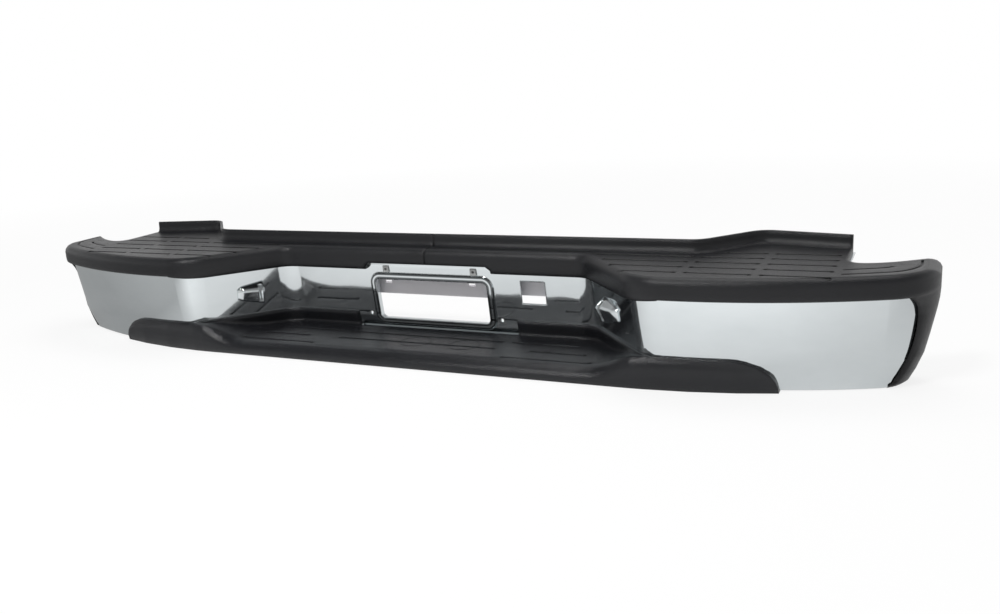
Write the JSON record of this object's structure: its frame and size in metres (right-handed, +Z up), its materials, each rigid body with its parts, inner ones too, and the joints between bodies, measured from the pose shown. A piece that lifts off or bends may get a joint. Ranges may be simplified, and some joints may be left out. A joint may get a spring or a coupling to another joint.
{
  "type": "truck step bumper",
  "caption": "Rear truck step bumper: chromed pressed steel face with plate recess, black treaded top pads, lower step pad, lamp hoods and frame brackets.",
  "frame": {"origin": "middle of the length and depth, on the level of the lowest edges", "axes": "+X to the right seen from behind the truck, +Y forward to the vehicle, +Z up"},
  "size_m": [1.6834, 0.363, 0.199],
  "materials": {
    "chrome": "polished",
    "tread_plastic": "grained",
    "grey_coat": "satin",
    "black_steel": "satin",
    "lens": "clear",
    "black_plastic": "satin",
    "bulb_glass": "clear",
    "nylon": "satin",
    "zinc": "zinc plated",
    "clip_nylon": "satin"
  },
  "bodies": {
    "root": {"face_bar": "chrome", "top_pad_left": "tread_plastic", "top_pad_right": "tread_plastic", "lower_step_pad": "tread_plastic", "impact_bar": "grey_coat", "frame_bracket_left": "black_steel", "frame_bracket_right": "black_steel", "end_gusset_left": "black_steel", "end_gusset_right": "black_steel", "step_strut_left": "black_steel", "step_strut_right": "black_steel", "lamp_hood_left": "chrome", "lamp_hood_right": "chrome", "lamp_lens_left": "lens", "lamp_lens_right": "lens", "lamp_socket_left": "black_plastic", "lamp_socket_right": "black_plastic", "lamp_bulb_left": "bulb_glass", "lamp_bulb_right": "bulb_glass", "plate_nut_left": "nylon", "plate_nut_right": "nylon", "bracket_bolts": "zinc", "bracket_nuts": "zinc", "shelf_bolts": "zinc", "shelf_nuts": "zinc", "top_pad_clips": "clip_nylon", "step_pad_clips": "clip_nylon"}
  },
  "joints": []
}
